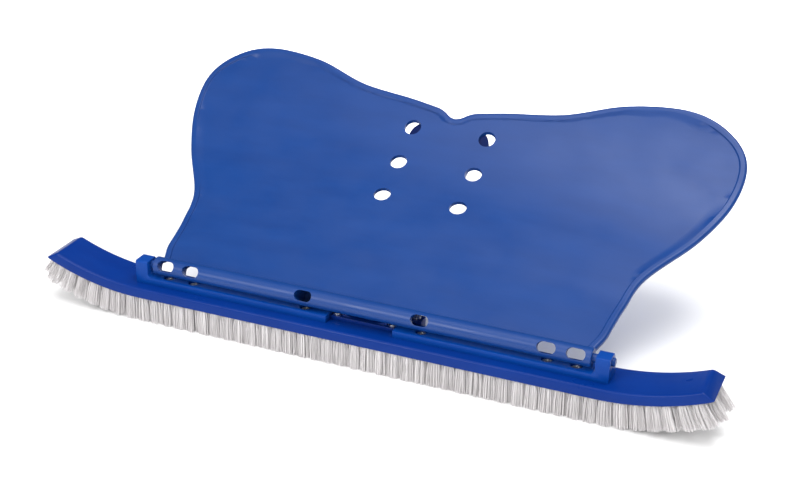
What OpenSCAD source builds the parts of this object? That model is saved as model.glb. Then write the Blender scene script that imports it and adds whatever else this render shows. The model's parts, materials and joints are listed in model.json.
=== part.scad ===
// Pool wall brush: a long curved brush with a hinged fin that the water pushes against,
// and a handle with a spring clip for a telescopic pole.
// The origin is the middle of the bristle tips. +X runs along the brush, +Y to the back, +Z up.

/* [Brush] */
// Half length of the straight middle of the brush back
straight_half = 162; // [120:1:180]
// Radius of the upper face at the turned-up ends
end_r = 172; // [150:1:260]
// Angle that each end turns through
end_turn = 22.7; // [12:0.1:28]
// Width of the upper face
top_w = 32.5; // [30:0.1:36]
// Width of the lower face
foot_w = 34.3; // [33:0.1:38]
// Thickness of the brush back
back_t = 7; // [6.5:0.1:9]
// Chamfer along the upper edges
edge_c = 1.2; // [0.3:0.1:1.6]
// How far the lower edge reaches past the upper edge at each end
toe = 5.6; // [4:0.1:6]

/* [Bristles] */
// Free length of the bristles below the back
tuft_len = 18.15; // [14:0.05:24]
// Distance between tufts along a row
tuft_pitch = 9.4; // [9.4:0.1:9.6]
// Distance between the rows
row_gap = 6.6; // [6.4:0.1:6.7]
// Tuft radius in its socket
tuft_r = 1.8; // [1.5:0.1:1.9]
// Tuft radius at the tips
tip_r = 3.9; // [3:0.1:3.9]
// Depth of a tuft socket
socket_depth = 3.8; // [3:0.1:4]

/* [Hinge] */
// Height of the hinge axis above the upper face of the back
axis_up = 12.35; // [12:0.05:14]
// Distance of the hinge axis in front of the middle of the back
axis_front = 0.65; // [0:0.05:2]
// Radius of the fin's hinge barrel
barrel_r = 6.2; // [5.8:0.1:6.4]
// Radius of the round pivots at the barrel's ends
pivot_r = 2.9; // [2.4:0.1:3]
// Running clearance of a pivot in its bearing
pivot_play = 0.06; // [0.03:0.01:0.1]
// Inner face of each bearing lug
lug_in = 159.8; // [159.5:0.1:160]
// Thickness of a bearing lug
lug_t = 9.2; // [7:0.1:9.6]

/* [Fin] */
// Slope of the fin above level when it lies back
fin_slope = 22.4; // [15:0.1:40]
// Thickness of the fin
fin_t = 2.6; // [2:0.1:3.2]
// Width of the thicker rim
rim_w = 4.2; // [2:0.1:5]
// Thickness of the rim
rim_t = 4.4; // [3:0.1:5]
// Flat height of the fin before it curls up
flat_w = 105; // [90:1:130]
// Radius of the upward curl
curl_r = 246; // [220:1:400]
// Radius of the sideways bow
bow_r = 4000; // [3600:50:8000]

/* [Handle] */
// Radius of the shank that fits inside a pole
shank_r = 13.8; // [13:0.1:14]
// Bore radius of the hollow shank
shank_bore_r = 10.8; // [9:0.1:11]
// Radius of the collar that stops the pole
collar_r = 16.2; // [15.9:0.1:16.2]
// Position of the collar's outer face along the fin
collar_at = 98; // [70:1:98]
// Position where the thinner nose of the shank begins
nose_at = 166; // [160:1:166]
// Radius of the nose
nose_r = 13.4; // [12.5:0.1:13.4]
// Position of the shank's open end
shank_end = 194; // [180:1:200]
// Position of the clip buttons
button_at = 172; // [165:1:176]
// Radius of a clip button
button_r = 3.1; // [3:0.1:3.4]

/* [Hidden] */

blue = [0.10, 0.25, 0.60];
deep_blue = [0.05, 0.20, 0.55];
bristle_white = [0.85, 0.83, 0.84];
steel = [0.72, 0.73, 0.75];

// Heights of the back, and the place of the hinge axis
back_bottom = tuft_len;
back_top = back_bottom + back_t;
axis_z = back_top + axis_up;
axis_y = -axis_front;

// The ends: centre height of the bend and the length along the upper face
bend_z = back_top + end_r;
bend_len = end_r * end_turn * PI / 180;
toe_turn = 2.5;
last_tuft = straight_half + bend_len + 0.7;
row_count = 5;

// Rails: floor and lugs, measured from the hinge axis
rail_in = 24;
rail_out = lug_in + lug_t;
floor_top = -7.6;
floor_back = 7.4;
rail_front = -7.2;
lug_back = 9;
lug_top = 4.3;
lug_flat_back = 3.6;
lug_corner = 0.8;
fillet_r = 3.4;

// Screws
screw_x = [41.7, 127.2, 146.5];
screw_r = 1.7;
hole_r = 2.1;
head_r = 3.5;
head_h = 2.2;
recess_r = 4.3;
recess_depth = 3.4;
screw_bite = 2.7;
slot_half = 2.7;
slot_r = 3.6;
slot_tilt = 37.6;
pocket_half = 4.4;
pocket_r = 4.7;
pocket_top = 2.4;

// Fin
root_drop = 1;
fin_holes_u = 28.6;
fin_holes_w = [104.1, 136.4, 167.3];
fin_hole_r = 6.1;
half_span = 230;
pad_t = 7;
pad_glue = 0.02;
pad_half = 18;
pad_r = 12.4;
pad_at = 163;
end_gap = 3.3;
barrel_half = lug_in - end_gap;
pivot_end = rail_out + 2;

// Handle: depth of the shank axis behind the hinge plane of the fin
shank_drop = root_drop + fin_t / 2 + collar_r + 0.3;
foot_half = 38;
foot_front = 8;
foot_back = 16.2;
foot_top = -5.2;
tongue_half = 18;
tongue_top = -7.8;
cradle_half = 16;
cradle_front = 2.4;
cradle_r = 59;
cradle_low = -10.6;
ear_half = 23.6;
ear_top = -9.9;
neck_w = 30;
neck_step = 0.7;
cross_screw_x = 32.9;
cross_screw_y = 12.2;
ear_screw_x = 20;
ear_screw_y = 4.1;

// Spring clip
clip_t = 1.2;
clip_h = 8;
clip_fold_at = 118;
clip_turn = 5.2;
button_lean = 0.35;
button_room = 0.55;

// Control points of one side of the fin's outline: distance from the middle, height
side = [
    [154.5, 3], [156.5, 10], [159.5, 20], [160.8, 33], [163, 50], [169, 78], [194, 121], [209, 158],
    [210, 188.5], [193.5, 207.3], [164, 216], [120, 211], [78, 197], [37, 190.7], [13, 186.3]
];

function spline(a, b, c, d, t) =
    0.5 * (2 * b + (c - a) * t + (2 * a - 5 * b + 4 * c - d) * t * t
        + (3 * b - a - 3 * c + d) * t * t * t);

function side_at(i) = side[max(0, min(len(side) - 1, i))];

// The side as a smooth curve with a few steps between control points
side_steps = 4;
right_edge = [
    for (i = [0 : len(side) - 2], k = [0 : side_steps - 1])
        spline(side_at(i - 1), side_at(i), side_at(i + 1), side_at(i + 2), k / side_steps),
    side_at(len(side) - 1), [8, 183.7], [4.5, 181], [1.8, 180.1], [0, 180]
];
edge_n = len(right_edge);
left_edge = [for (i = [edge_n - 2 : -1 : 0]) [-right_edge[i][0], right_edge[i][1]]];
outline = concat(right_edge, left_edge);

// The outline moved inwards by a distance, with its base left on the barrel
function turned(v) = [-v[1], v[0]] / norm(v);
function inward(p, i, d) =
    i == 0 ? p[0] + [-d, 0]
    : i == len(p) - 1 ? p[i] + [d, 0]
    : p[i] + d * turned(p[i + 1] - p[i - 1]);
function inset_outline(p, d) = [for (i = [0 : len(p) - 1]) inward(p, i, d)];

// Moves its children to the hinge axis
module at_axis() { translate([0, axis_y, axis_z]) children(); }

// Moves its children to the fin's own frame: X across, Y up along the fin, Z off its face
module in_fin() { at_axis() rotate([fin_slope, 0, 0]) children(); }

// Places a child on the back at a distance along the upper face from the middle
module along_back(s) {
    side_sign = s < 0 ? -1 : 1;
    turn = max(0, abs(s) - straight_half) / end_r * 180 / PI;
    start = min(abs(s), straight_half);
    translate([side_sign * start, 0, bend_z])
        rotate([0, -side_sign * turn, 0])
            translate([0, 0, -end_r]) children();
}

// Section of the back: across, then height below the upper face, with small upper chamfers
back_points = [
    [-foot_w / 2, -back_t], [foot_w / 2, -back_t],
    [top_w / 2 + 0.05, -edge_c], [top_w / 2 - edge_c, 0],
    [edge_c - top_w / 2, 0], [-top_w / 2 - 0.05, -edge_c]
];

// One turned-up end: the same section swept round the bend's centre
module back_bend() {
    difference() {
        translate([straight_half, 0, bend_z]) rotate([90, 0, 0]) rotate([0, 0, -90])
            rotate_extrude(angle = end_turn + toe_turn, $fn = 720)
                polygon([for (p = back_points) [end_r - p[1], p[0]]]);
        along_back(straight_half + bend_len) rotate([0, -atan(toe / back_t), 0])
            translate([0, -foot_w, -foot_w]) cube(2 * foot_w);
    }
}

// Tuft places in one row: even rows stand half a pitch over
function row_shift(row) = row % 2 == 1 ? 0 : 0.5;
function row_y(row) = (row - (row_count + 1) / 2) * row_gap;
function row_places(row) = [
    for (k = [-30 : 30]) let (s = (k + row_shift(row)) * tuft_pitch)
        if (abs(s) <= last_tuft) s
];

module brush_back() {
    color(blue) difference() {
        union() {
            translate([-straight_half, 0, back_top]) rotate([90, 0, 90])
                linear_extrude(2 * straight_half) polygon(back_points);
            back_bend();
            mirror([1, 0, 0]) back_bend();
        }
        for (row = [1 : row_count], s = row_places(row))
            along_back(s) translate([0, row_y(row), -back_t - 1])
                cylinder(h = socket_depth + 1, r = tuft_r, $fn = 24);
        for (x = screw_x, m = [-1, 1])
            at_axis() translate([m * x, 0, -axis_up - screw_bite])
                cylinder(h = screw_bite + 1, r = screw_r, $fn = 24);
        handle_screw_places() translate([0, 0, -axis_up - screw_bite])
            cylinder(h = screw_bite + 1, r = screw_r, $fn = 24);
    }
}

// One tuft: a round root in its socket and bristles that spread towards the tips
module tuft() {
    translate([0, 0, -back_t]) {
        cylinder(h = socket_depth - 0.9, r = tuft_r, $fn = 24);
        translate([0, 0, -tuft_len]) cylinder(h = tuft_len, r1 = tip_r, r2 = tuft_r, $fn = 24);
    }
}

module tuft_row(row) {
    color(bristle_white)
        for (s = row_places(row)) along_back(s) translate([0, row_y(row), 0]) tuft();
}

// A flat staple across the top of each socket
module tuft_staples() {
    color(steel)
        for (row = [1 : row_count], s = row_places(row))
            along_back(s) translate([-1.6, row_y(row) - 0.25, socket_depth - 0.9 - back_t])
                cube([3.2, 0.5, 0.9]);
}

// One hinge rail: floor, bearing lug, and a hollow corner between them
module rail() {
    color(blue) at_axis() difference() {
        union() {
            translate([rail_in, rail_front, -axis_up])
                cube([rail_out - rail_in, floor_back - rail_front, axis_up + floor_top]);
            lug_corner_fill();
            lug();
        }
        translate([lug_in - 1, 0, 0]) rotate([0, 90, 0])
            cylinder(h = lug_t + 2, r = pivot_r + pivot_play, $fn = 96);
        for (x = screw_x) translate([x, 0, 0]) {
            translate([0, 0, -axis_up - 1]) cylinder(h = axis_up + 1, r = hole_r, $fn = 32);
            translate([0, 0, floor_top - recess_depth])
                cylinder(h = recess_depth + 1, r = recess_r, $fn = 48);
        }
        under_relief();
    }
}

// Room under the lug for the back where it begins to turn up
module under_relief() {
    run = rail_out - straight_half + 1;
    rise = end_r - sqrt(end_r * end_r - run * run);
    translate([straight_half, 0, -axis_up]) rotate([90, 0, 0])
        linear_extrude(60, center = true) polygon([[0, 0], [run, -1], [run, rise]]);
}

module lug_corner_fill() {
    translate([0, floor_back, 0]) rotate([90, 0, 0])
        linear_extrude(floor_back - rail_front) difference() {
            translate([lug_in - fillet_r, floor_top - 1]) square([fillet_r + 1, fillet_r + 1]);
            translate([lug_in - fillet_r, floor_top + fillet_r]) circle(r = fillet_r, $fn = 64);
        }
}

module lug() {
    translate([lug_in, 0, 0]) rotate([90, 0, 90]) linear_extrude(lug_t)
        polygon([
            [rail_front, -axis_up], [lug_back, -axis_up], [lug_back, -3.5],
            [lug_flat_back, lug_top], [rail_front + lug_corner, lug_top],
            [rail_front, lug_top - lug_corner]
        ]);
}

// A pan-head screw standing on its seat, with a cross recess
module screw(shank) {
    difference() {
        union() {
            cylinder(h = head_h - 0.6, r = head_r, $fn = 48);
            translate([0, 0, head_h - 0.6]) cylinder(h = 0.6, r1 = head_r, r2 = 2.4, $fn = 48);
            translate([0, 0, -shank]) cylinder(h = shank + 0.1, r = screw_r, $fn = 24);
        }
        for (turn = [0, 90]) rotate([0, 0, turn])
            translate([-1.9, -0.4, head_h - 1.3]) cube([3.8, 0.8, 2]);
    }
}

module rail_screws() {
    seat = floor_top - recess_depth;
    color(steel) at_axis() for (x = screw_x) translate([x, 0, seat])
        screw(seat + axis_up + screw_bite);
}

// The four places where the handle is screwed to the back
module handle_screw_places() {
    at_axis() for (m = [-1, 1]) {
        translate([m * ear_screw_x, ear_screw_y, 0]) children();
        translate([m * cross_screw_x, cross_screw_y, 0]) children();
    }
}

// Moves its children to the shank's axis, with Z running out of the handle
module in_shank() {
    in_fin() translate([0, 0, -shank_drop]) rotate([-90, 0, 0]) children();
}

module handle_foot() {
    at_axis() {
        translate([-foot_half, foot_front, -axis_up])
            cube([2 * foot_half, foot_back - foot_front, axis_up + foot_top]);
        translate([-ear_half, ear_screw_y - 4.2, -axis_up])
            cube([2 * ear_half, foot_front - ear_screw_y + 4.3, axis_up + ear_top]);
        difference() {
            translate([-cradle_half, cradle_front, -axis_up])
                cube([2 * cradle_half, foot_front - cradle_front + 1, axis_up + tongue_top]);
            translate([0, cradle_front - 1, cradle_low + cradle_r]) rotate([-90, 0, 0])
                cylinder(h = foot_front - cradle_front + 0.9, r = cradle_r, $fn = 240);
        }
    }
}

// The neck blends the foot into the round shank
module handle_neck() {
    hull() {
        at_axis() translate([-tongue_half, foot_front, -axis_up])
            cube([2 * tongue_half, foot_back - foot_front, axis_up + foot_top]);
        in_shank() translate([0, 0, neck_w]) cylinder(h = 4, r = shank_r - neck_step, $fn = 32);
    }
}

module pole_handle() {
    color(deep_blue) difference() {
        union() {
            handle_foot();
            handle_neck();
            in_shank() {
                translate([0, 0, neck_w + 1]) cylinder(h = nose_at - neck_w - 1, r = shank_r, $fn = 96);
                translate([0, 0, nose_at - 1]) cylinder(h = shank_end - nose_at - 1, r = nose_r, $fn = 96);
                translate([0, 0, shank_end - 2]) cylinder(h = 2, r1 = nose_r, r2 = nose_r - 1.2, $fn = 96);
                translate([0, 0, collar_at - 6]) cylinder(h = 6, r = collar_r, $fn = 96);
            }
        }
        in_shank() {
            translate([0, 0, 60]) cylinder(h = shank_end, r = shank_bore_r, $fn = 96);
            translate([0, 0, button_at - button_lean]) rotate([0, 90, 0])
                cylinder(h = 40, r = button_r + button_room, center = true, $fn = 48);
        }
        at_axis() translate([-60, -30, -axis_up - 40]) cube([120, 30 + foot_back + 1.7, 40]);
        handle_screw_places() translate([0, 0, -axis_up - 1])
            cylinder(h = axis_up + 20, r = hole_r, $fn = 32);
    }
}

module handle_screws() {
    color(steel) at_axis() for (m = [-1, 1]) {
        translate([m * ear_screw_x, ear_screw_y, ear_top])
            screw(ear_top + axis_up + screw_bite);
        translate([m * cross_screw_x, cross_screw_y, foot_top])
            screw(foot_top + axis_up + screw_bite);
    }
}

module clip_fold() {
    color(steel) in_shank() translate([0, 0, clip_fold_at]) rotate([90, 0, 0])
        translate([0, 0, -clip_h / 2]) linear_extrude(clip_h) difference() {
            circle(r = 3 + clip_t, $fn = 48);
            circle(r = 3, $fn = 48);
            translate([-10, 0]) square([20, 10]);
        }
}

// One springy leg from the fold out to its button
module clip_leg(m) {
    run = button_at - clip_fold_at + 7;
    color(steel) in_shank() translate([m * (3 + clip_t / 2), 0, clip_fold_at])
        rotate([0, m * clip_turn, 0])
            translate([-clip_t / 2, -clip_h / 2, 0.3]) cube([clip_t, clip_h, run]);
}

module clip_button(m) {
    color(steel) in_shank() translate([m * (3 + clip_t / 2), 0, clip_fold_at])
        rotate([0, m * clip_turn, 0])
            translate([m * clip_t / 2, 0, button_at - clip_fold_at]) rotate([0, m * 90, 0]) {
                cylinder(h = 7.6, r = button_r, $fn = 48);
                translate([0, 0, 7.6]) cylinder(h = 1.2, r1 = button_r, r2 = 1.8, $fn = 48);
            }
}

// Section of the fin's sheet: height off the face, height along the fin
module sheet_section(t) {
    translate([-t / 2, 0]) square([t, flat_w + 0.01]);
    translate([curl_r, flat_w]) difference() {
        circle(r = curl_r + t / 2, $fn = 720);
        circle(r = curl_r - t / 2, $fn = 720);
        translate([-curl_r - 10, -2 * curl_r]) square([3 * curl_r, 2 * curl_r]);
        rotate(-30) translate([-2 * curl_r, 0]) square([4 * curl_r, 2 * curl_r]);
    }
}

// Sweeps a section across the fin's width along its sideways bow
module bowed() {
    half_angle = asin(half_span / bow_r);
    translate([0, 0, -bow_r - root_drop]) rotate([-90, -90, 0]) rotate([0, 0, -half_angle])
        rotate_extrude(angle = 2 * half_angle, $fn = 1440)
            translate([bow_r, 0]) children();
}

module sheet(t) { bowed() sheet_section(t); }

module fin_slab(points) {
    translate([0, 0, -60]) linear_extrude(120) polygon(points);
}

module fin() {
    color(blue) in_fin() difference() {
        union() {
            intersection() {
                sheet(fin_t);
                fin_slab(outline);
            }
            intersection() {
                sheet(rim_t);
                difference() {
                    fin_slab(outline);
                    fin_slab(inset_outline(outline, rim_w));
                }
            }
            rotate([0, 90, 0]) cylinder(h = 2 * barrel_half, r = barrel_r, center = true, $fn = 96);
            rotate([0, 90, 0]) cylinder(h = 2 * pivot_end, r = pivot_r, center = true, $fn = 96);
        }
        for (m = [-1, 1], w = fin_holes_w) translate([m * fin_holes_u, w, -30])
            cylinder(h = 70, r = fin_hole_r, $fn = 64);
        for (m = [-1, 1], x = screw_x) translate([m * x, 0, 0])
            rotate([slot_tilt, 0, 0]) barrel_slot();
    }
}

// A round-ended slot through the barrel, opened out from behind
module barrel_slot() {
    long_plug(slot_half, slot_r, -12, 12);
    long_plug(pocket_half, pocket_r, -12, pocket_top);
}

module long_plug(half, r, low, high) {
    for (e = [-1, 1]) translate([e * half, 0, low]) cylinder(h = high - low, r = r, $fn = 48);
    translate([-half, -r, low]) cube([2 * half, 2 * r, high - low]);
}

// Section of the pad: a layer glued along the rear face of the curl
module pad_section() {
    rear_r = curl_r + fin_t / 2;
    translate([curl_r, flat_w]) difference() {
        circle(r = rear_r + pad_t, $fn = 720);
        circle(r = rear_r + pad_glue, $fn = 720);
        translate([-curl_r - 20, -2 * curl_r]) square([3 * curl_r, 2 * curl_r]);
        rotate(-30) translate([-2 * curl_r, 0]) square([4 * curl_r, 2 * curl_r]);
    }
}

// A pad on the fin's rear face that rests on the pole
module pole_rest() {
    color(deep_blue) in_fin() difference() {
        intersection() {
            bowed() pad_section();
            translate([0, 0, -40]) linear_extrude(80) {
                translate([-pad_half, pad_at - pad_r]) square([2 * pad_half, 2 * pad_r]);
                for (m = [-1, 1]) translate([m * pad_half, pad_at]) circle(r = pad_r, $fn = 64);
            }
        }
        translate([0, 100, -shank_drop]) rotate([-90, 0, 0])
            cylinder(h = 100, r = collar_r + 0.2, $fn = 96);
    }
}

brush_back();
tuft_row(1);  // tuft_row_1
tuft_row(2);  // tuft_row_2
tuft_row(3);  // tuft_row_3
tuft_row(4);  // tuft_row_4
tuft_row(5);  // tuft_row_5
tuft_staples();
mirror([1, 0, 0]) rail();  // rail_left
rail();  // rail_right
mirror([1, 0, 0]) rail_screws();  // rail_screws_left
rail_screws();  // rail_screws_right
pole_handle();
handle_screws();
clip_fold();
clip_leg(-1);  // clip_leg_left
clip_leg(1);  // clip_leg_right
clip_button(-1);  // clip_button_left
clip_button(1);  // clip_button_right
fin();
pole_rest();
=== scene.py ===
"""Looks of the pool wall brush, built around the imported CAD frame. Everything is in metres."""

import json
import math
import random

import bmesh
import bpy
import numpy as np
from mathutils import Matrix, Vector


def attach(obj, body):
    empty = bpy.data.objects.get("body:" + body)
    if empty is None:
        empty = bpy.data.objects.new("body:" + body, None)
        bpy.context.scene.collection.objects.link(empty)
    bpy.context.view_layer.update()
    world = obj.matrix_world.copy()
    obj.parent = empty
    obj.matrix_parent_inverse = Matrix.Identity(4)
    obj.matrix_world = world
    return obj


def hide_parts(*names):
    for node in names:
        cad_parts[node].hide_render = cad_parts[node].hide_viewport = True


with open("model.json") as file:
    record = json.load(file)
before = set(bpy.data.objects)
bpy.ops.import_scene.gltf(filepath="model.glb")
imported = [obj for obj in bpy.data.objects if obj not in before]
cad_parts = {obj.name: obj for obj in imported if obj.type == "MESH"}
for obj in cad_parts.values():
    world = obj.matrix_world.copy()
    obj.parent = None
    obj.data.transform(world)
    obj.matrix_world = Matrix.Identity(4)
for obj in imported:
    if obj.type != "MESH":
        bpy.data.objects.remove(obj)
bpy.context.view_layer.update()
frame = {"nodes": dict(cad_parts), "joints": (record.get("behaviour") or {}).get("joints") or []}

MM = 0.001
JOINTS = {joint["name"]: joint for joint in frame["joints"]}
AXIS = Vector(JOINTS["fin_hinge"]["pos_m"])

# The fin's own directions at rest: across, up along its face, and off its face
FIN_SLOPE = math.radians(22.4)
ACROSS = Vector((1, 0, 0))
ALONG = Vector((0, math.cos(FIN_SLOPE), math.sin(FIN_SLOPE)))
OFF = ACROSS.cross(ALONG)

# The brush back's path: straight in the middle, each end an arc
STRAIGHT_HALF = 162 * MM
END_R = 172 * MM
END_TURN = math.radians(22.7)
TUFT_LEN = 18.15 * MM
BACK_T = 7 * MM
BACK_TOP = TUFT_LEN + BACK_T
BEND_Z = BACK_TOP + END_R
TOP_CORNER = 1.9 * MM
TOE = 5.6 * MM
FOOT_CORNER = 0.4 * MM
TOP_HALF, FOOT_HALF = 16.3 * MM, 17.15 * MM
CORNER_STEPS = 5
BACK_STEPS = 180


# ---------------------------------------------------------------- small helpers

def new_object(name, mesh):
    made = bpy.data.objects.new(name, mesh)
    bpy.context.scene.collection.objects.link(made)
    return made


def mesh_object(name, points, faces):
    mesh = bpy.data.meshes.new(name)
    mesh.from_pydata([tuple(p) for p in points], [], faces)
    mesh.validate()
    return new_object(name, mesh)


def apply_modifiers(obj):
    """Bakes the object's modifiers into its mesh."""
    graph = bpy.context.evaluated_depsgraph_get()
    mesh = bpy.data.meshes.new_from_object(obj.evaluated_get(graph))
    obj.modifiers.clear()
    obj.data = mesh


def smooth_by_angle(obj, degrees):
    obj.data.shade_smooth()
    obj.data.set_sharp_from_angle(angle=math.radians(degrees))


def finish_piece(obj, body, material, replaces=()):
    """Gives a piece its material and its body, and hides the CAD nodes it stands for."""
    obj.data.materials.clear()
    obj.data.materials.append(material)
    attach(obj, body)
    if replaces:
        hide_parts(*replaces)
    return obj


def boolean(obj, other, operation):
    """Cuts or joins two closed meshes, and removes the second."""
    change = obj.modifiers.new("cut", "BOOLEAN")
    change.operation = operation
    change.object = other
    change.solver = "EXACT"
    apply_modifiers(obj)
    bpy.data.objects.remove(other)


def softened_copy(node, name, width, segments=2):
    """A copy of a CAD node with its sharp edges rounded over."""
    work = bmesh.new()
    work.from_mesh(frame["nodes"][node].data)
    bmesh.ops.remove_doubles(work, verts=work.verts, dist=1e-6)
    bmesh.ops.dissolve_limit(work, angle_limit=math.radians(0.6), verts=work.verts, edges=work.edges)
    mesh = bpy.data.meshes.new(name)
    work.to_mesh(mesh)
    work.free()
    obj = new_object(name, mesh)
    round_over = obj.modifiers.new("round", "BEVEL")
    round_over.width = width
    round_over.segments = segments
    round_over.limit_method = "ANGLE"
    round_over.angle_limit = math.radians(38)
    round_over.use_clamp_overlap = True
    apply_modifiers(obj)
    smooth_by_angle(obj, 40)
    return obj


# ---------------------------------------------------------------- materials

def node_of(tree, kind, **inputs):
    made = tree.nodes.new(kind)
    for key, value in inputs.items():
        made.inputs[key.replace("_", " ")].default_value = value
    return made


def base_material(name):
    made = bpy.data.materials.new(name)
    made.use_nodes = True
    tree = made.node_tree
    shader = tree.nodes["Principled BSDF"]
    place = tree.nodes.new("ShaderNodeTexCoord")
    return made, tree, shader, place.outputs["Object"]


def mixed_colours(tree, factor, first, second):
    mix = tree.nodes.new("ShaderNodeMix")
    mix.data_type = "RGBA"
    mix.inputs[6].default_value = (*first, 1)
    mix.inputs[7].default_value = (*second, 1)
    tree.links.new(factor, mix.inputs[0])
    return mix.outputs[2]


def stretched(tree, place, scale):
    mapping = tree.nodes.new("ShaderNodeMapping")
    mapping.inputs["Scale"].default_value = scale
    tree.links.new(place, mapping.inputs["Vector"])
    return mapping.outputs["Vector"]


def noise(tree, place, scale, detail=3.0, rough=0.5):
    made = node_of(tree, "ShaderNodeTexNoise", Scale=scale, Detail=detail, Roughness=rough)
    tree.links.new(place, made.inputs["Vector"])
    return made.outputs["Fac"]


def ranged(tree, value, low, high, to_low, to_high):
    made = tree.nodes.new("ShaderNodeMapRange")
    for key, number in zip((1, 2, 3, 4), (low, high, to_low, to_high)):
        made.inputs[key].default_value = number
    tree.links.new(value, made.inputs[0])
    return made.outputs[0]


def bumped(tree, shader, height, strength, distance, under=None):
    bump = node_of(tree, "ShaderNodeBump", Strength=strength, Distance=distance)
    tree.links.new(height, bump.inputs["Height"])
    if under is not None:
        tree.links.new(under, bump.inputs["Normal"])
    tree.links.new(bump.outputs["Normal"], shader.inputs["Normal"])
    return bump.outputs["Normal"]


def moulded_plastic(name, deep, light, gloss, grain, mirror=0.32):
    """Injection-moulded plastic: faint flow marks in the colour, fine grain and slight waviness."""
    made, tree, shader, place = base_material(name)
    flow = noise(tree, stretched(tree, place, (6, 22, 22)), 3.0, 4.0, 0.55)
    colour = mixed_colours(tree, ranged(tree, flow, 0.3, 0.7, 0, 1), deep, light)
    tree.links.new(colour, shader.inputs["Base Color"])
    patches = noise(tree, place, 35.0, 3.0)
    tree.links.new(ranged(tree, patches, 0.3, 0.7, gloss - 0.05, gloss + 0.06), shader.inputs["Roughness"])
    fine = noise(tree, place, 2600.0, 2.0, 0.6)
    wavy = noise(tree, place, 60.0, 2.0)
    under = bumped(tree, shader, wavy, 0.10, 0.0006)
    bumped(tree, shader, fine, grain, 0.00006, under)
    shader.inputs["IOR"].default_value = 1.49
    shader.inputs["Specular IOR Level"].default_value = mirror
    return made


def bristle_nylon():
    """White nylon filament with fine streaks along its length and some light going through."""
    made, tree, shader, place = base_material("bristle_nylon")
    streak = noise(tree, stretched(tree, place, (520, 520, 14)), 1.0, 2.0)
    darker, lighter = (0.655, 0.63, 0.635), (0.77, 0.745, 0.75)
    colour = mixed_colours(tree, ranged(tree, streak, 0.32, 0.68, 0, 1), darker, lighter)
    tree.links.new(colour, shader.inputs["Base Color"])
    tree.links.new(ranged(tree, streak, 0.3, 0.7, 0.38, 0.6), shader.inputs["Roughness"])
    bumped(tree, shader, noise(tree, place, 900.0), 0.2, 0.00004)
    shader.inputs["Subsurface Weight"].default_value = 0.25
    shader.inputs["Subsurface Radius"].default_value = (0.004, 0.004, 0.004)
    return made


def stainless(name, grain_scale):
    """Brushed stainless steel with fine drawn lines."""
    made, tree, shader, place = base_material(name)
    lines = noise(tree, stretched(tree, place, grain_scale), 1.0, 3.0)
    colour = mixed_colours(tree, lines, (0.50, 0.50, 0.51), (0.72, 0.72, 0.73))
    tree.links.new(colour, shader.inputs["Base Color"])
    tree.links.new(ranged(tree, lines, 0.3, 0.7, 0.22, 0.4), shader.inputs["Roughness"])
    bumped(tree, shader, lines, 0.15, 0.00003)
    shader.inputs["Metallic"].default_value = 1.0
    return made


def rubber_in_painted_shade():
    """Matt rubber with a fine stipple; its very dark blue is painted shade, the blue darkened to the shadow
    it lies in behind the fin.
    """
    made, tree, shader, place = base_material("rest_rubber")
    spread = noise(tree, place, 90.0)
    # Painted shade: the blue is darkened to the shadow behind the fin, with a little random tone on top
    colour = mixed_colours(tree, spread, (0.001, 0.007, 0.06), (0.002, 0.012, 0.09))
    tree.links.new(colour, shader.inputs["Base Color"])
    shader.inputs["Specular IOR Level"].default_value = 0.15
    tree.links.new(ranged(tree, spread, 0.3, 0.7, 0.62, 0.8), shader.inputs["Roughness"])
    bumped(tree, shader, noise(tree, place, 1500.0), 0.5, 0.0001)
    return made


BLUE = moulded_plastic("blue_plastic", (0.0002, 0.023, 0.180), (0.0005, 0.028, 0.205), 0.32, 0.12, 0.16)
RAIL_BLUE = moulded_plastic("rail_plastic", (0.001, 0.044, 0.265), (0.0015, 0.052, 0.295), 0.34, 0.12, 0.18)
FIN_BLUE = moulded_plastic("fin_plastic", (0.0015, 0.038, 0.198), (0.003, 0.045, 0.222), 0.40, 0.35, 0.45)
HANDLE_BLUE = moulded_plastic("handle_plastic", (0.0006, 0.020, 0.17), (0.001, 0.026, 0.20), 0.34, 0.2)
BRISTLE = bristle_nylon()
STEEL = stainless("screw_steel", (900, 900, 60))
CLIP_STEEL = stainless("clip_steel", (1400, 60, 1400))
RUBBER_PAINTED_SHADE = rubber_in_painted_shade()


# ---------------------------------------------------------------- brush back

def along_back(s):
    """Place and turn at a distance along the back's upper face: (x, z of the upper face, turn)."""
    side = -1 if s < 0 else 1
    turn = max(0.0, abs(s) - STRAIGHT_HALF) / END_R
    x = side * (min(abs(s), STRAIGHT_HALF) + END_R * math.sin(turn))
    return x, BEND_Z - END_R * math.cos(turn), side * turn


def on_back(s, y, depth):
    """A point below the upper face by depth, at distance s along it."""
    x, z, turn = along_back(s)
    return Vector((x + depth * math.sin(turn), y, z - depth * math.cos(turn)))


def back_section(inset):
    """The back's section as (y, depth) points with round corners, pulled in by an inset."""
    top_half, foot_half = TOP_HALF - inset, FOOT_HALF - inset
    high, low = inset, BACK_T - 0.4 * inset
    points = []
    for y_sign, start, half, depth, r in (
        (1, 0, top_half, high, TOP_CORNER), (1, 90, foot_half, low, FOOT_CORNER),
        (-1, 180, foot_half, low, FOOT_CORNER), (-1, 270, top_half, high, TOP_CORNER),
    ):
        inward = 1 if depth < BACK_T / 2 else -1
        centre_y, centre_depth = y_sign * (half - r), depth + inward * r
        for k in range(CORNER_STEPS + 1):
            a = math.radians(start + 90 * k / CORNER_STEPS)
            points.append((centre_y + r * math.sin(a), centre_depth - r * math.cos(a)))
    return points


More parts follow.
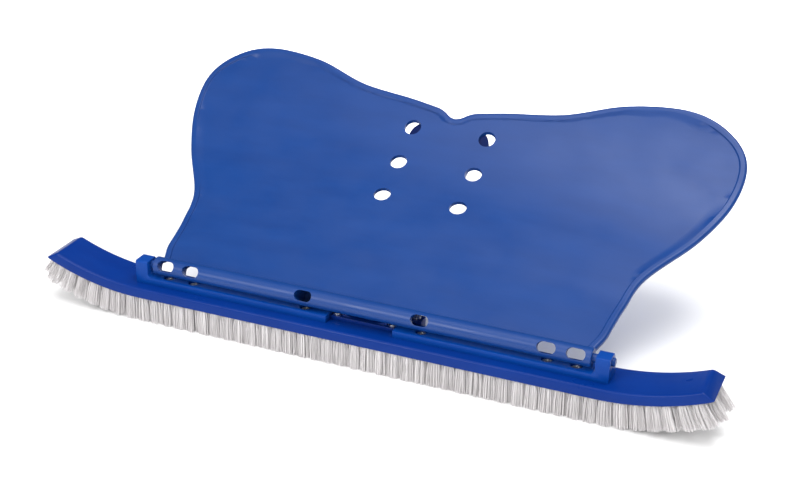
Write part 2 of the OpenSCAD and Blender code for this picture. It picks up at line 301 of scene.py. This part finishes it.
def make_brush_back():
    end = STRAIGHT_HALF + END_R * END_TURN
    # Each end's rounded edge: distance back from the end, and how far the section is pulled in
    rim = [(1.4 * MM, 0.0), (0.8 * MM, 0.12 * MM), (0.35 * MM, 0.35 * MM),
           (0.1 * MM, 0.65 * MM), (0.0, 1.0 * MM)]
    inner = np.linspace(rim[0][0] - end, end - rim[0][0], BACK_STEPS)[1:-1]
    row = [(back_off - end, inset) for back_off, inset in reversed(rim)]
    row += [(s, 0.0) for s in inner]
    row += [(end - back_off, inset) for back_off, inset in rim]
    points, faces = [], []
    for s, inset in row:
        lean = math.copysign(max(0.0, 1 - (end - abs(s)) / (2.2 * TOE)) * TOE / BACK_T, s)
        points += [on_back(s + lean * depth, y, depth) for y, depth in back_section(inset)]
    n = len(back_section(0))
    for k in range(len(row) - 1):
        for i in range(n):
            a, b = k * n + i, k * n + (i + 1) % n
            faces.append((a, b, b + n, a + n))
    faces.append(tuple(range(n)))
    faces.append(tuple(reversed(range((len(row) - 1) * n, len(row) * n))))
    obj = mesh_object("brush_back_moulding", points, faces)
    recalculated(obj)
    smooth_by_angle(obj, 45)
    return finish_piece(obj, "brush", BLUE, ["brush_back"])


def recalculated(obj):
    """Makes every face look outwards."""
    work = bmesh.new()
    work.from_mesh(obj.data)
    bmesh.ops.recalc_face_normals(work, faces=work.faces)
    work.to_mesh(obj.data)
    work.free()


# ---------------------------------------------------------------- bristles

TUFT_PITCH = 9.4 * MM
ROW_GAP = 6.6 * MM
ROW_COUNT = 5
ROOT_R = 2.3 * MM
TIP_R = 4.9 * MM
FILAMENT_R = 0.22 * MM
FILAMENTS = 150
RINGS = 4
SIDES = 3
THIRD_TURN = 2.0944
FANNED = 4 * TUFT_PITCH
LAST_TUFT = STRAIGHT_HALF + END_R * END_TURN + 0.7 * MM


def row_places(row):
    shift = 0 if row % 2 else 0.5
    places = [(k + shift) * TUFT_PITCH for k in range(-30, 31)]
    return [s for s in places if abs(s) <= LAST_TUFT]


def filament_rings(s, y, dice):
    """Centre points of one filament from its root to its tip; the last tufts fan outwards."""
    reach = math.sqrt(dice.random())
    a = dice.uniform(0, 2 * math.pi)
    root = (ROOT_R * reach * math.cos(a), ROOT_R * reach * math.sin(a))
    tip = (root[0] / ROOT_R * TIP_R * dice.uniform(0.9, 1.3) + dice.gauss(0, 0.5) * MM,
           root[1] / ROOT_R * TIP_R * 0.8)
    crowding = max(0.0, abs(s) - LAST_TUFT + FANNED) / FANNED
    outward = math.copysign(crowding * crowding * dice.uniform(2.4, 4.0) * MM, s)
    length = TUFT_LEN - abs(dice.gauss(0, 0.16)) * MM - 0.9 * MM * crowding * dice.random()
    bend = dice.gauss(0, 0.22) * MM
    turn = along_back(s)[2]
    centre = on_back(s, y, BACK_T)
    tangent = Vector((math.cos(turn), 0, math.sin(turn)))
    down = Vector((math.sin(turn), 0, -math.cos(turn)))
    points = []
    for t, ease in ((0, 0), (0.1, 0.72), (0.45, 0.9), (1, 1)):
        along = root[0] + (tip[0] - root[0]) * ease + outward * t * t + bend * math.sin(math.pi * t)
        across = root[1] + (tip[1] - root[1]) * ease + 0.6 * bend * math.sin(math.pi * t)
        drop = length * t - 0.3 * MM * (1 - t)
        points.append(centre + tangent * along + Vector((0, across, 0)) + down * drop)
    return points


def make_bristle_row(row):
    """One row of tufts as loose filaments, each a thin three-sided rod."""
    dice = random.Random(400 + row)
    y = (row - (ROW_COUNT + 1) / 2) * ROW_GAP
    points, faces = [], []
    for s in row_places(row):
        for _ in range(FILAMENTS):
            start = len(points)
            twist = dice.uniform(0, 2 * math.pi)
            angles = [twist + k * THIRD_TURN for k in range(SIDES)]
            corners = [Vector((math.cos(angle), math.sin(angle), 0)) for angle in angles]
            for k, centre in enumerate(filament_rings(s, y, dice)):
                r = FILAMENT_R * (1 - 0.2 * k / (RINGS - 1))
                points += [centre + c * r for c in corners]
            for k in range(RINGS - 1):
                a = start + SIDES * k
                faces += [(a + i, a + (i + 1) % SIDES, a + SIDES + (i + 1) % SIDES, a + SIDES + i)
                          for i in range(SIDES)]
            faces.append(tuple(reversed(range(start, start + SIDES))))
            faces.append(tuple(range(start + SIDES * (RINGS - 1), start + SIDES * RINGS)))
    mesh = bpy.data.meshes.new(f"bristles_row_{row}")
    mesh.from_pydata([tuple(p) for p in points], [], faces)
    obj = new_object(f"bristles_row_{row}", mesh)
    recalculated(obj)
    smooth_by_angle(obj, 75)
    return finish_piece(obj, "brush", BRISTLE, [f"tuft_row_{row}"])


# ---------------------------------------------------------------- fin

# Control points of one side of the fin's outline in mm: distance from the middle, height
SIDE = [
    (154.5, 3), (156.5, 10), (159.5, 20), (160.8, 33), (163, 50), (169, 78), (194, 121), (209, 158),
    (210, 188.5), (193.5, 207.3), (164, 216), (120, 211), (78, 197), (37, 190.7), (13, 186.3),
]
NOTCH = [(8, 183.7), (4.5, 181), (1.8, 180.1), (0, 180)]
FIN_HALF_T = 1.3
RIM_HALF_T = 2.3
RIM_W = 4.6
RIM_FALL = 0.9
FLAT_W = 105
CURL_R = 246
ROOT_DROP = 1.3
BARREL_R = 6.2
BARREL_HALF = 156.5
PIVOT_R = 2.9
PIVOT_END = 171
HOLE_U, HOLE_R = 28.6, 6.1
HOLES_W = (104.1, 136.4, 167.3)
SLOT_X = (41.7, 127.2, 146.5)
SLOT_R, SLOT_HALF = 3.6, 2.7
POCKET_R, POCKET_HALF, POCKET_TOP = 4.7, 4.4, 2.4
SLOT_TILT = math.radians(37.6)
BASE_W = 3
BOW_AT_ROOT, BOW_ABOVE = 1 / 9000, 1 / 2400
BOW_GROWS_OVER = 60


def spline(a, b, c, d, t):
    slope, square, cube = c - a, 2 * a - 5 * b + 4 * c - d, 3 * b - a - 3 * c + d
    return 0.5 * (2 * b + slope * t + square * t * t + cube * t ** 3)


def side_outline(steps):
    """The fin's side as a dense smooth curve from its base to the notch, in mm."""
    points = []
    last = len(SIDE) - 1
    for i in range(last):
        four = [np.array(SIDE[min(max(k, 0), last)], float) for k in (i - 1, i, i + 1, i + 2)]
        points += [spline(*four, k / steps) for k in range(steps)]
    return np.array(points + [SIDE[-1]] + NOTCH, float)


def resampled(points, count):
    """The same line with evenly spaced points."""
    steps = np.r_[0, np.cumsum(np.linalg.norm(np.diff(points, axis=0), axis=1))]
    at = np.linspace(0, steps[-1], count)
    return np.stack([np.interp(at, steps, points[:, k]) for k in (0, 1)], 1)


def fin_height(u, w):
    """Height of the sheet's middle off the hinge plane, in mm: curled up and bowed back."""
    curl = CURL_R - np.sqrt(CURL_R ** 2 - np.clip(w - FLAT_W, 0, 200) ** 2)
    grow = np.clip(w / BOW_GROWS_OVER, 0, 1)
    bow = u ** 2 / 2 * (BOW_AT_ROOT + (BOW_ABOVE - BOW_AT_ROOT) * grow * grow * (3 - 2 * grow))
    return curl - bow - ROOT_DROP


def distance_to_line(points, line):
    """Shortest distance from each point to a broken line."""
    a, b = line[:-1], line[1:]
    best = np.full(len(points), 1e9)
    for p, q in zip(a, b):
        d = q - p
        t = np.clip((points - p) @ d / (d @ d), 0, 1)
        best = np.minimum(best, np.linalg.norm(points - p - t[:, None] * d, axis=1))
    return best


def half_thickness(d):
    """Half of the fin's thickness at a distance from its edge: a round bead, then the thin sheet."""
    bead = np.sqrt(np.clip(RIM_HALF_T ** 2 - np.clip(RIM_HALF_T - d, 0, None) ** 2, 0, None))
    fall = np.clip((d - RIM_W) / RIM_FALL, 0, 1)
    fall = fall * fall * (3 - 2 * fall)
    return bead * (1 - fall) + FIN_HALF_T * fall


def fin_to_world(points):
    """Points in the fin's frame (mm) to the shared frame (metres)."""
    basis = np.array([ACROSS, ALONG, OFF])
    return points * MM @ basis + np.array(AXIS)


def fin_sheet():
    """The fin's plate as one closed mesh with a beaded rim."""
    line_count, step_count = 190, 84
    edge = resampled(side_outline(10), line_count)
    t = np.linspace(0, 1, line_count)
    centre = np.stack([0 * t, BASE_W + (edge[-1, 1] - BASE_W) * t], 1)
    near = np.linspace(0, RIM_W + 2, step_count // 2)
    across = np.linalg.norm(centre - edge, axis=1)
    far = np.linspace(0, 1, step_count - len(near) + 1)[1:]
    grid = []
    for start, end, width in zip(edge, centre, across):
        rim = near * min(1.0, 0.5 * width / near[-1])
        reach = np.r_[rim, rim[-1] + (width - rim[-1]) * far][:, None]
        grid.append(start + (end - start) / max(width, 1e-6) * reach)
    grid = np.array(grid)
    flat = grid.reshape(-1, 2)
    outline = np.vstack([edge, (edge * [-1, 1])[::-1][1:]])
    thick = half_thickness(distance_to_line(flat, outline))
    u, w = flat[:, 0], flat[:, 1]
    h = fin_height(u, w)
    small = 0.05
    slope_u = (fin_height(u + small, w) - fin_height(u - small, w)) / (2 * small)
    slope_w = (fin_height(u, w + small) - fin_height(u, w - small)) / (2 * small)
    normal = np.stack([-slope_u, -slope_w, np.ones_like(u)], 1)
    normal /= np.linalg.norm(normal, axis=1)[:, None]
    middle = np.stack([u, w, h], 1)
    front, rear = middle + normal * thick[:, None], middle - normal * thick[:, None]
    points = np.vstack([front, rear, front * [-1, 1, 1], rear * [-1, 1, 1]])
    n = len(flat)
    faces = []
    for i in range(line_count - 1):
        for j in range(step_count - 1):
            a = i * step_count + j
            quad = (a, a + 1, a + 1 + step_count, a + step_count)
            for layer in range(4):
                faces.append(tuple(k + layer * n for k in quad))
    for j in range(step_count - 1):
        for layer in (0, 2):
            a, b = j + layer * n, j + (layer + 1) * n
            faces.append((a, a + 1, b + 1, b))
    mesh = bpy.data.meshes.new("fin_sheet")
    mesh.from_pydata(fin_to_world(points).tolist(), [], faces)
    work = bmesh.new()
    work.from_mesh(mesh)
    bmesh.ops.remove_doubles(work, verts=work.verts, dist=2e-6)
    bmesh.ops.dissolve_degenerate(work, dist=1e-7, edges=work.edges)
    bmesh.ops.recalc_face_normals(work, faces=work.faces)
    work.to_mesh(mesh)
    work.free()
    return new_object("fin_moulding", mesh)


def turned(name, profile, centre, axis, across, segments=72):
    """A turned part: profile is (distance along the axis, radius) in mm."""
    side = Vector(axis).cross(Vector(across))
    points, faces = [], []
    for along, r in profile:
        for k in range(segments):
            a = 2 * math.pi * k / segments
            offset = Vector(across) * (r * math.cos(a)) + side * (r * math.sin(a))
            points.append(Vector(centre) + (Vector(axis) * along + offset) * MM)
    for row in range(len(profile) - 1):
        for k in range(segments):
            a, b = row * segments + k, row * segments + (k + 1) % segments
            faces.append((a, b, b + segments, a + segments))
    faces.append(tuple(range(segments)))
    faces.append(tuple(range((len(profile) - 1) * segments, len(profile) * segments)))
    obj = mesh_object(name, points, faces)
    recalculated(obj)
    return obj


def fin_barrel():
    half = [(0, BARREL_R), (BARREL_HALF - 0.5, BARREL_R), (BARREL_HALF, BARREL_R - 0.5),
            (BARREL_HALF, PIVOT_R), (PIVOT_END - 0.7, PIVOT_R), (PIVOT_END, PIVOT_R - 0.7)]
    profile = [(-x, r) for x, r in reversed(half[1:])] + half[1:]
    return turned("fin_barrel", profile, AXIS, ACROSS, ALONG)


def slot_cutter(x, r, half, low, high):
    """A long round-ended plug through the barrel."""
    direction = (OFF * math.cos(SLOT_TILT) - ALONG * math.sin(SLOT_TILT)).normalized()
    upright = ACROSS.cross(direction)
    ring = []
    for k in range(48):
        a = 2 * math.pi * (k + 0.5) / 48
        shift = half if math.cos(a) >= 0 else -half
        ring.append((r * math.cos(a) + shift, r * math.sin(a)))
    points = []
    for end in (low, high):
        points += [AXIS + (ACROSS * (x + p) + upright * q + direction * end) * MM for p, q in ring]
    n = len(ring)
    faces = [(i, (i + 1) % n, n + (i + 1) % n, n + i) for i in range(n)]
    faces += [tuple(range(n)), tuple(range(n, 2 * n))]
    obj = mesh_object("slot_cutter", points, faces)
    recalculated(obj)
    return obj


def joined(objects):
    """Several separate closed meshes as one object."""
    work = bmesh.new()
    for obj in objects:
        work.from_mesh(obj.data)
    mesh = bpy.data.meshes.new("joined")
    work.to_mesh(mesh)
    work.free()
    for obj in objects:
        bpy.data.objects.remove(obj)
    return new_object("joined", mesh)


def make_fin():
    fin = fin_sheet()
    boolean(fin, fin_barrel(), "UNION")
    places = [m * x for m in (-1, 1) for x in SLOT_X]
    pockets = [slot_cutter(x, POCKET_R, POCKET_HALF, -12, POCKET_TOP) for x in places]
    boolean(fin, joined(pockets), "DIFFERENCE")
    cutters = [slot_cutter(x, SLOT_R, SLOT_HALF, -12.5, 12) for x in places]
    for m in (-1, 1):
        for w in HOLES_W:
            foot = AXIS + (ACROSS * m * HOLE_U + ALONG * w) * MM
            profile = [(-20, HOLE_R), (30, HOLE_R)]
            cutters.append(turned("hole_cutter", profile, foot, OFF, ACROSS, 64))
    boolean(fin, joined(cutters), "DIFFERENCE")
    smooth_by_angle(fin, 35)
    return finish_piece(fin, "fin", FIN_BLUE, ["fin"])


# ---------------------------------------------------------------- CAD shapes with softened edges

SOFTENED = [
    ("rail_left", "rail_left_moulding", "brush", "blue_plastic", RAIL_BLUE, 0.45 * MM),
    ("rail_right", "rail_right_moulding", "brush", "blue_plastic", RAIL_BLUE, 0.45 * MM),
    ("pole_handle", "pole_handle_moulding", "brush", "handle_plastic", HANDLE_BLUE, 0.6 * MM),
    ("rail_screws_left", "rail_screws_left_heads", "brush", "steel", STEEL, 0.15 * MM),
    ("rail_screws_right", "rail_screws_right_heads", "brush", "steel", STEEL, 0.15 * MM),
    ("handle_screws", "handle_screws_heads", "brush", "steel", STEEL, 0.15 * MM),
    ("clip_fold", "clip_fold_strip", "brush", "steel", CLIP_STEEL, 0.15 * MM),
    ("clip_leg_left", "clip_leg_left_strip", "clip_left", "steel", CLIP_STEEL, 0.15 * MM),
    ("clip_leg_right", "clip_leg_right_strip", "clip_right", "steel", CLIP_STEEL, 0.15 * MM),
    ("clip_button_left", "clip_button_left_pin", "clip_left", "steel", STEEL, 0.3 * MM),
    ("clip_button_right", "clip_button_right_pin", "clip_right", "steel", STEEL, 0.3 * MM),
    ("pole_rest", "pole_rest_pad", "fin", "rest_rubber", RUBBER_PAINTED_SHADE, 0.8 * MM),
]


def make_softened():
    for node, name, body, slot, material, width in SOFTENED:
        finish_piece(softened_copy(node, name, width), body, material, [node])


# ---------------------------------------------------------------- stage

def make_floor():
    reach = 6.0
    corners = [(-reach, -reach, 0), (reach, -reach, 0), (reach, reach, 0), (-reach, reach, 0)]
    floor = mesh_object("floor", corners, [(0, 1, 2, 3)])
    made, tree, shader, place = base_material("floor_paper")
    tree.links.new(mixed_colours(tree, noise(tree, place, 3.0), (0.90, 0.90, 0.90), (0.93, 0.93, 0.93)),
                   shader.inputs["Base Color"])
    shader.inputs["Roughness"].default_value = 0.9
    floor.data.materials.append(made)


def area_light(name, place, aim, size, power):
    data = bpy.data.lights.new(name, "AREA")
    data.shape = "RECTANGLE"
    data.size, data.size_y = size
    data.energy = power
    lamp = bpy.data.objects.new(name, data)
    lamp.location = place
    lamp.rotation_mode = "QUATERNION"
    lamp.rotation_quaternion = (Vector(aim) - Vector(place)).to_track_quat("-Z", "Y")
    bpy.context.scene.collection.objects.link(lamp)
    return lamp


def sun(name, aim, power, degrees, seen_in_gloss):
    """A distant lamp, which may be left out of the reflections."""
    data = bpy.data.lights.new(name, "SUN")
    data.energy = power
    data.angle = math.radians(degrees)
    lamp = bpy.data.objects.new(name, data)
    lamp.rotation_mode = "QUATERNION"
    lamp.rotation_quaternion = Vector(aim).to_track_quat("-Z", "Y")
    lamp.visible_glossy = seen_in_gloss
    bpy.context.scene.collection.objects.link(lamp)


def make_light():
    world = bpy.data.worlds.new("studio")
    world.use_nodes = True
    background = world.node_tree.nodes["Background"]
    background.inputs["Color"].default_value = (1, 1, 1, 1)
    background.inputs["Strength"].default_value = 0.09
    bpy.context.scene.world = world
    sun("dome", (0.0, 0.12, -1), 1.9, 150, False)
    sun("sky", (-0.05, 0.2, -0.97), 1.5, 44, True)
    area_light("key", (-0.55, -1.25, 0.85), (0, 0, 0.04), (0.4, 0.4), 9)
    area_light("front", (0.7, -1.4, 0.5), (0, 0, 0.03), (0.8, 0.5), 4)
    area_light("top", (0.45, 0.25, 1.5), (0.1, 0.1, 0.1), (0.5, 0.5), 6)
    under = area_light("under", (0, 0.75, 0.16), (0, 0.1, 0), (1.0, 0.14), 5)
    under.visible_camera = under.visible_glossy = False


def make_camera():
    data = bpy.data.cameras.new("camera")
    data.sensor_width = 36
    data.lens = 67.27
    camera = bpy.data.objects.new("camera", data)
    place = Vector((0.3513, -0.79655, 0.4909))
    aim = Vector((0.0144, 0.0243, 0.0724))
    roll = Matrix.Rotation(math.radians(1.18), 4, "Z")
    turn = (aim - place).to_track_quat("-Z", "Y").to_matrix().to_4x4()
    camera.matrix_world = Matrix.Translation(place) @ turn @ roll
    bpy.context.scene.collection.objects.link(camera)
    bpy.context.scene.camera = camera


def make_all():
    scene = bpy.context.scene
    scene.view_settings.view_transform = "Standard"
    make_camera()
    make_brush_back()
    for row in range(1, ROW_COUNT + 1):
        make_bristle_row(row)
    make_fin()
    make_softened()
    staples = frame["nodes"]["tuft_staples"].data.materials
    staples.clear()
    staples.append(STEEL)
    make_floor()
    make_light()


make_all()
